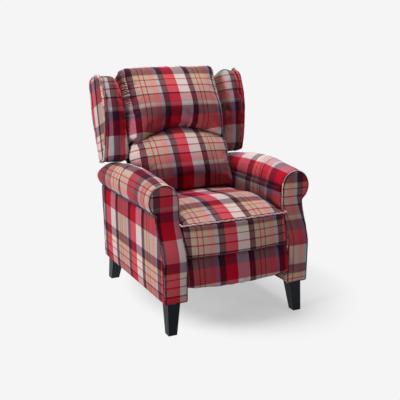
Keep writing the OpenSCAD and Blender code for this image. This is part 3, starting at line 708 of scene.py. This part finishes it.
def pillow_cloth(top_of_maroon):
    def place(co, normal, centre):
        depth, height = back_depth(co), back_height(co)
        # over the top the cloth keeps running rearward, so depth counts as length there
        over = np.clip(0.115 - depth, 0, 1) * (height > 0.62)
        return co[:, 0] - PILLOW_PLUM, top_of_maroon - height - over
    return place


def make_pillow(name, node_name, top_of_maroon, seed):
    piece = even_skin(name, node_name, 0.0065)
    swell(piece, inset=0.008, cap=0.004)
    subdivide(piece)
    co = points_of(piece.data)
    depth, height = back_depth(co), back_height(co)
    # the seam between the pillows and the crown of the upper one both sit a little high
    at_seam = 0.009 * bell(height - arch_height(co[:, 0]), 0.07) * slope(depth, 0, 0.06)
    co += (at_seam + 0.004 * slope(height, 0.58, 0.64))[:, None] * UP_BACK
    # low at the rear the sides are cut in, to pass between the arms when the back reclines
    low = slope(0.659 * height + 0.752 * depth, 0.215, 0.185)
    co[:, 0] -= np.sign(co[:, 0]) * TUCK * low * slope(np.abs(co[:, 0]), 0.19, 0.23)
    set_points(piece.data, co)
    lay_cloth(piece, pillow_cloth(top_of_maroon))
    depth, height = back_depth(co), back_height(co) - at_seam
    seam = -0.003 * bell(np.abs(co[:, 0]) - SIDE_SEAM, 0.004) * (depth > 0.06)
    puckers = np.sin(co[:, 0] * 620 + 2 * np.sin(co[:, 0] * 90 + seed))
    at_arch = 0.0010 * puckers * bell(height - arch_height(co[:, 0]), 0.016) * (depth > 0.05)
    slack = 0.0016 * np.sin(co[:, 0] * 37 + seed) * np.sin(height * 29 + 1.3 * seed)
    move_out(piece, seam + at_arch + slack)
    dress(piece, "back", [node_name])
    print(name, len(piece.data.polygons), "faces")
    return piece


head = make_pillow("head_cushion", "head_pillow", HEAD_MAROON, 3)
lumbar = make_pillow("lumbar_cushion", "lumbar_pillow", LUMBAR_MAROON, 8)

# %% Gathered gusset strips
STRIP_STEP, STRIP_COLUMNS, FOLD_PITCH = 0.0016, 22, 0.0112
STRIP_FRONT_X, STRIP_REAR = 0.216, 0.045


def strip_rows(pillow, side, low, high):
    """Spots on the pillow's side: rows going up, each from the front edge rearward."""
    surface, inward = surface_of(pillow), Vector((-side, 0, 0))
    heights, rows = [], []
    for height in np.arange(low, high, STRIP_STEP):
        start = Vector(back_point(side * STRIP_FRONT_X, 0.4, height))
        front = surface.ray_cast(start, Vector(-OUT_OF_BACK))[0]
        if front is None:
            continue
        edge = back_depth(np.array(front)) - 0.009
        row = []
        for k in range(STRIP_COLUMNS):
            depth = edge - (edge - STRIP_REAR) * (k / (STRIP_COLUMNS - 1)) ** 1.4
            spot = surface.ray_cast(Vector(back_point(side * 0.5, depth, height)), inward)[0]
            if spot is None or abs(spot[0]) < 0.205:
                break
            row.append((spot[0], depth, edge - depth))
        if len(row) == STRIP_COLUMNS:
            heights.append(height)
            rows.append(row)
    return np.array(heights), np.array(rows)


def folds(up, across, seed):
    """Ridges across the strip that wander a little, and lie closer together further up."""
    wander = 0.42 * np.sin(up * 61 + seed) + 0.25 * np.sin(up * 143 + 2 * seed)
    turn = (up / FOLD_PITCH + 137 * np.maximum(0, up - 0.50) ** 2 + wander
            + across * 9 * np.sin(up * 37 + seed))
    fold = np.sin(2 * np.pi * turn)
    return np.sign(fold) * np.abs(fold) ** 0.75


def make_gusset(name, pillow, side, low, high, top_of_maroon, gather, seed):
    heights, cells = strip_rows(pillow, side, low, high)
    across = cells[:, :, 2]
    up = heights[:, None] + 0 * across
    strength = gather(up) * (0.0036 * np.exp(-across / 0.035) + 0.0010)
    rim = np.ones_like(up)
    rim[0, :] = rim[-1, :] = rim[:, 0] = rim[:, -1] = 0
    # the rim of the sheet dips under the pillow's skin, and the folds stand on it
    out = np.where(rim > 0, 0.0016 + strength * (folds(up, across, seed) + 0.5), -0.0015)
    points = [tuple(back_point(cells[i, k, 0] + side * out[i, k], cells[i, k, 1], heights[i]))
              for i in range(len(heights)) for k in range(STRIP_COLUMNS)]
    corners = (0, 1, STRIP_COLUMNS + 1, STRIP_COLUMNS)[::-side]
    faces = [[i * STRIP_COLUMNS + k + step for step in corners]
             for i in range(len(heights) - 1) for k in range(STRIP_COLUMNS - 1)]
    mesh = bpy.data.meshes.new(name)
    mesh.from_pydata(points, [], faces)
    piece = new_piece(name, mesh)
    layer = mesh.uv_layers.new(name="cloth")
    corner = values_of(mesh.loops, "vertex_index", 1, int).ravel()
    u, v = 0.136 - 0.45 * across.ravel(), top_of_maroon - up.ravel()
    layer.data.foreach_set("uv", np.stack([u[corner], v[corner]], 1).ravel())
    return dress(piece, "back")


HEAD_STRIP_TOP, HEAD_GATHER = {-1: 0.672, 1: 0.655}, {-1: 1.0, 1: 0.4}
for side, word in SIDES:
    make_gusset("head_gusset_" + word, head, side, 0.325, HEAD_STRIP_TOP[side], HEAD_MAROON,
                lambda up: HEAD_GATHER[side] * (0.45 + 1.15 * slope(up, 0.50, 0.58)), 2 + side)
    make_gusset("lumbar_gusset_" + word, lumbar, side, 0.15, 0.33, LUMBAR_MAROON,
                lambda up: 0.45 + 0 * up, 5 + side)
print("pillows done")

# %% [markdown]
# ## Seat
# The seat cushion is a crowned pad that ends in a stitched flange along its front edge. Below
# it a bowed front border closes the seat down to the footrest. The stripes of seat, border and
# footrest are cut to meet, so they share one start across the chair.

# %% Seat cushion
SEAT_PLUM, SEAT_WEFT = -0.0964, 0.238
RIM_HALF, CROWN_RISE, SINK = 0.2506, 0.015, 0.010


def rim_front(x):
    """Where the seat's front edge lies: bowed forward in the middle, and a little higher."""
    bow = 1 - np.clip(x / RIM_HALF, -1, 1) ** 2
    return -0.369 - 0.023 * bow, 0.4485 + 0.0055 * bow


def seat_cloth(co, normal, centre):
    return co[:, 0] - SEAT_PLUM, SEAT_WEFT - (co[:, 1] + 0.275) * 0.97


def make_seat():
    piece = even_skin("seat_pad", "seat_cushion", 0.0075)
    swell(piece, inset=0.008, cap=0.004)
    subdivide(piece)
    co = points_of(piece.data)
    front, lip = co[:, 1].min(), slope(co[:, 2], 0.4405, 0.4465)
    crowned = bell(co[:, 1] + 0.20, 0.13) * (1 - 0.45 * slope(np.abs(co[:, 0]), 0.17, 0.23) ** 2)
    co[:, 2] += CROWN_RISE * crowned * slope(co[:, 2], 0.43, 0.45)
    # the top reaches forward over the border, as a lip, and falls to the flange
    near = slope(co[:, 1], -0.29, front)
    rim_y, rim_z = rim_front(co[:, 0])
    co[:, 1] += lip * near * (rim_y - front)
    co[:, 2] += lip * near ** 3 * np.minimum(0, rim_z + 0.001 - co[:, 2])
    wide = slope(np.abs(co[:, 0]), 0.20, 0.235) * near * lip
    co[:, 0] += np.sign(co[:, 0]) * wide * 0.012 * (co[:, 1] < -0.345)
    # the crown sinks towards the rear, where people sit
    co[:, 2] -= SINK * slope(co[:, 1], -0.24, -0.02) * slope(co[:, 2], 0.40, 0.44)
    set_points(piece.data, co)
    slack = 0.0013 * np.sin(co[:, 0] * 31) * np.sin(co[:, 1] * 27 + 1)
    puckers = np.sin(co[:, 0] * 330 + 3 * np.sin(co[:, 0] * 45))
    pull = 0.0008 * puckers * bell(co[:, 1] - rim_y, 0.02)
    move_out(piece, (slack + pull * lip) * (co[:, 2] > 0.445))
    lay_cloth(piece, seat_cloth)
    return dress(piece, "seat", ["seat_cushion"])


seat = make_seat()

# %% Stitched flange round the seat's front
def make_flange():
    across = np.linspace(-RIM_HALF + 0.004, RIM_HALF - 0.004, 160)
    y, z = rim_front(across)
    wave = 0.0011 * np.sin(across * 210 + 2 * np.sin(across * 31)) + 0.0006 * np.sin(across * 470)
    front = np.stack([across, y - 0.002 + wave, z - 0.001 + wave * 0.6], 1)
    rearward = np.linspace(0.006, 0.075, 22)
    sides = []
    for side in (-1, 1):
        end_y, end_z = rim_front(np.array([side * RIM_HALF]))
        sides.append(np.stack([side * (RIM_HALF - 0.002 - 0.10 * rearward), end_y[0] + rearward,
                               end_z[0] + 0.02 * rearward], 1))
    path = even_path(np.vstack([sides[0][::-1], front, sides[1]]), 0.003)
    lay_cord("seat_flange", path, "seat", 0.0030, PALE_PIPING, lump=0.0022)
    row = even_path(front + [0, 0.011, 0.004], 0.004)
    sew("seat_top_stitch", snap(row, surface_of(seat), 0.0003), "seat")


make_flange()

# %% Front border
def border_cloth(co, normal, centre):
    return co[:, 0] - SEAT_PLUM, SEAT_WEFT + (0.4237 - co[:, 2]) * 1.02


def make_border():
    piece = even_skin("seat_border", "seat_front_border", 0.005)
    crown(piece, (0, -1, 0), 0.005)
    co = points_of(piece.data)
    # its top edge is pressed down under the seat's lip
    co[:, 2] -= 0.75 * np.maximum(0, co[:, 2] - 0.438)
    set_points(piece.data, co)
    lay_cloth(piece, border_cloth)
    return dress(piece, "seat", ["seat_front_border"])


border = make_border()
low_edge = part_of(face_edge("seat_front_border", (0, -1, 0)), lambda p: p[2] < 0.335)
lay_cord("border_piping", snap(low_edge, surface_of(border), 0.0006), "seat", 0.002,
         DARK_PIPING)

# %% Footrest pad
def foot_cloth(co, normal, centre):
    return co[:, 0] - SEAT_PLUM, (0.3105 - co[:, 2]) * 1.03


def make_foot_pad():
    piece = even_skin("footrest_cover", "footrest_pad", 0.0045)
    crown(piece, (0, -1, 0), 0.004)
    co = points_of(piece.data)
    ripple = np.sin(co[:, 0] * 95 + 2 * np.sin(co[:, 0] * 23)) * bell(co[:, 2] - 0.19, 0.02)
    move_out(piece, 0.0012 * ripple)
    lay_cloth(piece, foot_cloth)
    return dress(piece, "footrest", ["footrest_pad"])


foot_pad = make_foot_pad()
top_edge = part_of(face_edge("footrest_pad", (0, -1, 0)), lambda p: p[2] > 0.21)
lay_cord("footrest_piping", snap(top_edge, surface_of(foot_pad), 0.0003), "footrest", 0.0016,
         DARK_PIPING)
print("seat parts done")

# %% [markdown]
# ## Panels
# The arms and the rear are boards under thin wadding. Their edges are only rounded, and the
# visible face stands a few millimetres proud in its middle. The distance of each point from
# the panel's edge gives that crown.

# %% Panel helper
def make_panel(name, node_name, out, puff, body, place, voxel=0.005, steps=3):
    piece = even_skin(name, node_name, voxel)
    soften(piece.data, steps, keep_size=False)
    crown(piece, out, puff)
    lay_cloth(piece, place)
    return dress(piece, body, [node_name])


# %% Outer and inner side panels
ROLL_X, ROLL_Z, ROLL_R = 0.31025, 0.545, 0.0665
ROLL_PLUM = {-1: -0.037, 1: -0.020}
RIGHT_SEAM = -0.15


def left_seam(height):
    return -0.022 + 0.036 * slope(height, ROLL_Z, ROLL_Z + 0.075)


def left_weft(y, behind):
    return np.where(behind, 0.238 + y * 0.95, 0.041 + (y + 0.18) * 0.9)


def weft_along_arm(side, y):
    """How far down the weft list each place along an arm lies, on both sides of its seam."""
    if side < 0:
        return left_weft(y, y >= left_seam(ROLL_Z))
    return np.where(y > RIGHT_SEAM, 0.109 + (0.0618 - y) * 0.938, 0.400 + (-0.222 - y) * 0.95)


def outer_cloth(co, normal, centre):
    return (-0.0264 - co[:, 1]) / 1.1, 0.109 + (0.4074 - co[:, 2])


def lining_cloth(side):
    def place(co, normal, centre):
        return co[:, 2] - ROLL_Z - ROLL_PLUM[side], weft_along_arm(side, co[:, 1])
    return place


for side, word in SIDES:
    node_name = "arm_outer_panel_" + word
    panel = make_panel("arm_side_" + word, node_name, (side, 0, 0), 0.005, "base", outer_cloth)
    make_panel("arm_lining_" + word, "arm_inner_panel_" + word, (-side, 0, 0), 0.002, "base",
               lining_cloth(side))
    low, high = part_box(node_name)
    shown = part_of(face_edge(node_name, (side, 0, 0), rounds=2),
                    lambda p: p[2] > low[2] + 0.02 and p[1] < high[1] - 0.02)
    lay_cord("arm_side_piping_" + word, snap(shown, surface_of(panel), 0.0004), "base", 0.0020,
             lump=0.0008)

# %% Front facings
ROLL_RISE = {-1: 0.004, 1: 0.011}


def raise_roll(co, side):
    """The crown of each arm swells towards its middle, and clears the wing behind."""
    along = (0.4 + 0.6 * bell(co[:, 1] + 0.12, 0.17)) * slope(co[:, 1], 0.16, 0.04)
    rise = ROLL_RISE[side] * slope(co[:, 2], 0.50, 0.60) * along
    return co + [0, 0, 1] * rise[:, None]


def left_facing_cloth(co, normal, centre):
    return co[:, 0] + 0.357, (0.5057 - co[:, 2]) * 1.005


def right_facing_cloth(co, normal, centre):
    drift = 0.020 * slope(co[:, 2], 0.50, 0.38)
    return co[:, 0] - 0.3134 - drift, (0.4091 - co[:, 2]) * 1.05


for (side, word), place in zip(SIDES, (left_facing_cloth, right_facing_cloth)):
    node_name = "arm_facing_" + word
    cover = make_panel("facing_cover_" + word, node_name, (0, -1, 0), 0.003, "base", place, 0.004)
    set_points(cover.data, raise_roll(points_of(cover.data), side))
    surface = surface_of(cover)
    front = raise_roll(face_edge(node_name, (0, -1, 0), 0.003), side)
    lay_cord("facing_piping_" + word, snap(front, surface, 0.0006), "base", 0.0022, closed=True)
    upper = part_of(front, lambda p: p[2] > 0.50 or p[0] * side < 0.28)
    behind = snap(upper + [0, 0.0065, 0], surface, 0.0012)
    lay_cord("facing_edge_" + word, behind, "base", 0.0019, lump=0.0006, cut=PALE_CUT)

# %% Rear panels
REAR_PLUM = 0.09


def rear_cloth(co, normal, centre):
    return REAR_PLUM - co[:, 0], 0.4 - co[:, 2]


def back_cover_cloth(co, normal, centre):
    return REAR_PLUM - co[:, 0], HEAD_MAROON - back_height(co)


for side, word in SIDES:
    make_panel("arm_back_" + word, "arm_rear_panel_" + word, (0, 1, 0), 0.002, "base", rear_cloth)
make_panel("rear_apron_cover", "rear_apron", (0, 1, 0), 0.002, "base", rear_cloth)
back_cover = make_panel("back_cover", "back_outer_panel", -OUT_OF_BACK, 0.004, "back",
                        back_cover_cloth)
back_edge = face_edge("back_outer_panel", -OUT_OF_BACK, 0.005, 2)
lay_cord("back_piping", snap(back_edge, surface_of(back_cover), 0.0006), "back", 0.0024,
         closed=True)
print("panels done")

# %% [markdown]
# ## Arm rolls
# The cloth of a roll runs round it, with the warp stripes along the arm. A seam crosses each
# roll where two lengths of cloth are joined, so the pattern jumps there.

# %% Roll cloth
def roll_turn(co, side):
    turn = np.arctan2(co[:, 2] - ROLL_Z, -side * (co[:, 0] - side * ROLL_X))
    return np.where(turn < -1.9, turn + 2 * np.pi, turn)


def roll_cloth(side):
    def place(co, normal, centre):
        turn, middle = roll_turn(co, side), roll_turn(centre, side)
        turn = np.where(turn - middle > np.pi, turn - 2 * np.pi, turn)
        turn = np.where(middle - turn > np.pi, turn + 2 * np.pi, turn)
        # zero at the inner side, growing over the crown to the outer side
        u = turn * ROLL_R - ROLL_PLUM[side]
        if side > 0:
            return u, weft_along_arm(side, co[:, 1])
        return u, left_weft(co[:, 1], centre[:, 1] > left_seam(centre[:, 2]))
    return place


def seam_line(side, height):
    return left_seam(height) if side < 0 else RIGHT_SEAM + 0.03 * slope(height, 0.56, 0.61)


def make_roll(side, word):
    piece = even_skin("arm_roll_cover_" + word, "arm_roll_" + word, 0.005)
    lay_cloth(piece, roll_cloth(side))
    co = raise_roll(points_of(piece.data), side)
    set_points(piece.data, co)
    seam = -0.0025 * bell(co[:, 1] - seam_line(side, co[:, 2]), 0.004)
    slack = 0.0012 * np.sin(co[:, 1] * 41 + side) * np.sin(co[:, 2] * 33)
    move_out(piece, 0.0025 + seam + slack)
    surface, ring = surface_of(piece), []
    for angle in np.linspace(-0.2, 3.7, 70):
        out = Vector((-side * math.cos(angle), 0, math.sin(angle)))
        y = float(seam_line(side, ROLL_Z + ROLL_R * math.sin(angle)))
        spot = surface.ray_cast(Vector((side * ROLL_X, y, ROLL_Z)) + out * 0.13, -out)[0]
        if spot is not None:
            ring.append(spot + out * 0.0003)
    lay_cord("roll_seam_" + word, ring, "base", 0.001, DARK_PIPING)
    return dress(piece, "base", ["arm_roll_" + word])


for side, word in SIDES:
    make_roll(side, word)

# %% [markdown]
# ## Wings
# A wing is a curved board with a cloth outer face and a thick pad inside. The two are joined
# by a piped seam round the front edge, which rises to a small peak at the top.

# %% Wing pads and outer faces
WING_PEAK = np.array([0.351, 0.295, 1.012])


def shape_pad(pad, rise, fuller):
    """The top runs nearly level to the head pillow, and the foot comes down to the arm."""
    co = points_of(pad.data)
    inner = slope(np.abs(co[:, 0]), 0.345, 0.265) ** 2
    bulge = fuller * inner * slope(back_depth(co), 0, 0.10)
    co += bulge[:, None] * OUT_OF_BACK
    co[:, 0] -= np.sign(co[:, 0]) * 0.6 * bulge
    high = slope(back_height(co), 0.48, 0.62) ** 2
    low = slope(back_height(co), 0.36, 0.30)
    co += (rise * inner * high - 0.008 * inner * low)[:, None] * UP_BACK
    co[:, 0] -= np.sign(co[:, 0]) * 0.010 * low * inner
    set_points(pad.data, co)


def draw_ends(piece, rise, drop):
    """Pull the top corner up to its peak, and the foot down to the arm."""
    co = points_of(piece.data)
    mirrored = co * [np.sign(co[0, 0]), 1, 1]
    away = np.linalg.norm((mirrored - WING_PEAK) * [1.0, 0.8, 0.7], axis=1)
    co[:, 2] += rise * np.exp(-away / 0.018)
    co -= (drop * slope(back_height(co), 0.37, 0.29))[:, None] * UP_BACK
    set_points(piece.data, co)


def wing_pad_cloth(plum_left, top_of_maroon, drift):
    def place(co, normal, centre):
        depth, height = back_depth(co), back_height(co)
        wrap = np.sign(-centre[:, 0]) * (0.15 - depth) * (np.abs(centre[:, 0]) < 0.268)
        lean = plum_left + drift * (0.64 - height)
        # over the top the cloth turns and keeps running rearward
        over = slope(normal @ UP_BACK, 0.45, 0.80) * np.clip(0.13 - depth, 0, 1)
        down = top_of_maroon - height + 0.13 * (0.16 - depth) - 0.95 * over
        return co[:, 0] - lean + wrap, down
    return place


def wing_face_cloth(pad_cloth):
    def place(co, normal, centre):
        depth, height = back_depth(co), back_height(co)
        run = depth + 0.1 * (0.59 - height)
        u, v = 0.084 + (run - 0.030) * 1.25, 0.109 + (0.509 - height) * 0.956
        # round the front edge the cloth of the pad goes on
        pad_u, pad_v = pad_cloth(co, normal, centre)
        edge = normal @ OUT_OF_BACK > 0.6
        return np.where(edge, pad_u, u), np.where(edge, pad_v, v)
    return place


WINGS = {
    "left": {"cloth": wing_pad_cloth(-0.328, 0.459, 0.02), "fuller": 0.010, "rise": 0.014,
             "peak": -0.004, "foot": 0.007, "cord": 0.0040, "cut": PALE_CUT},
    "right": {"cloth": wing_pad_cloth(0.2935, 0.474, 0.045), "fuller": 0.004, "rise": 0.072,
              "peak": 0.018, "foot": 0.004, "cord": 0.0022, "cut": PLUM_CUT}}

for side, word in SIDES:
    wing = WINGS[word]
    pad = even_skin("wing_cushion_" + word, "wing_pad_" + word, 0.006)
    swell(pad, inset=0.006, cap=0.003)
    shape_pad(pad, wing["rise"], wing["fuller"])
    draw_ends(pad, wing["peak"], wing["foot"])
    lay_cloth(pad, wing["cloth"])
    dress(pad, "back", ["wing_pad_" + word])
    node_name = "wing_panel_" + word
    face = make_panel("wing_face_" + word, node_name, (side, 0, 0), 0.002, "back",
                      wing_face_cloth(wing["cloth"]), 0.004, 2)
    draw_ends(face, wing["peak"], wing["foot"])
    edge = snap(face_edge(node_name, (side, 0, 0), rounds=2), surface_of(face), 0.0012)
    lay_cord("wing_piping_" + word, edge, "back", wing["cord"], closed=True, lump=0.0024,
             cut=wing["cut"])
print("arms and wings done")

# %% [markdown]
# ## Floor and light
# A plain pale floor and soft lamps. The floor keeps the chair's shadow, and looks almost white
# to the camera because part of its colour is given to camera rays only.

# %% Floor, world and lamps
PAPER_WHITE = 0.913
SHADOW_MIDDLE = (0.23, 0.0, 0.0)
FLOOR_HALF = 14


def seen_direct(tree):
    path = add(tree, "ShaderNodeLightPath").outputs
    return maths(tree, "MAXIMUM", path["Is Camera Ray"], path["Is Glossy Ray"])


def make_floor():
    material, tree = new_material("pale studio floor")
    clean = add(tree, "ShaderNodeTexNoise", {"Scale": 3.0})
    tone = ramp(tree, clean.outputs[0], [(0.3, "#9e9e9d"), (0.7, "#a2a2a1")])
    matt = add(tree, "ShaderNodeBsdfDiffuse", {"Color": tone})
    shaded = add(tree, "ShaderNodeBsdfDiffuse", {"Color": "#989898"})
    glow = add(tree, "ShaderNodeEmission", {"Color": "#ffffff", "Strength": 0.46})
    near = add(tree, "ShaderNodeAddShader", {0: shaded.outputs[0], 1: glow.outputs[0]})
    # further out the floor is one even pale tone, like a sheet of backdrop paper
    place = add(tree, "ShaderNodeTexCoord").outputs["Object"]
    spread = add(tree, "ShaderNodeVectorMath", {0: place, 1: (1.0, 0.8, 1.0)},
                 operation="MULTIPLY").outputs[0]
    away = add(tree, "ShaderNodeVectorMath", {0: spread, 1: SHADOW_MIDDLE},
               operation="DISTANCE").outputs["Value"]
    fade = add(tree, "ShaderNodeMapRange", {0: away, 1: 0.35, 2: 0.56},
               interpolation_type="SMOOTHSTEP")
    paper = add(tree, "ShaderNodeEmission", {"Color": "#ffffff", "Strength": PAPER_WHITE})
    both = add(tree, "ShaderNodeMixShader", {0: fade.outputs[0], 1: near.outputs[0],
                                             2: paper.outputs[0]})
    finish_material(tree, add(tree, "ShaderNodeMixShader", {
        0: seen_direct(tree), 1: matt.outputs[0], 2: both.outputs[0]}))
    sheet = bpy.data.meshes.new("studio_floor")
    corners = [(x * FLOOR_HALF, y * FLOOR_HALF, 0) for x, y in ((-1, -1), (1, -1), (1, 1), (-1, 1))]
    sheet.from_pydata(corners, [], [(0, 1, 2, 3)])
    floor = new_piece("studio_floor", sheet)
    floor.data.materials.append(material)


def make_world():
    world = bpy.data.worlds.new("studio")
    bpy.context.scene.world = world
    world.use_nodes = True
    tree = world.node_tree
    tree.nodes.clear()
    strength = add(tree, "ShaderNodeMapRange", {0: seen_direct(tree), 3: 0.12, 4: PAPER_WHITE})
    sky = add(tree, "ShaderNodeBackground", {"Color": "#ffffff",
                                             "Strength": strength.outputs[0]})
    add(tree, "ShaderNodeOutputWorld", {"Surface": sky.outputs[0]})


def make_lamp(name, place, target, size, watts):
    lamp = bpy.data.lights.new(name, "AREA")
    lamp.shape = "SQUARE"
    lamp.size = size
    lamp.energy = watts
    stand = bpy.data.objects.new(name, lamp)
    bpy.context.scene.collection.objects.link(stand)
    stand.location = place
    aim = Vector(target) - Vector(place)
    stand.rotation_euler = aim.to_track_quat("-Z", "Y").to_euler()


make_floor()
make_world()
make_lamp("side_lamp", (-3.9, -0.9, 0.95), (0, 0, 0.5), 1.4, 148)
make_lamp("top_lamp", (0.4, 0.5, 4.0), (0, 0, 0.5), 2.2, 168)
make_lamp("front_lamp", (1.9, -2.3, 0.6), (0, 0, 0.3), 1.0, 15)
print("studio lit")
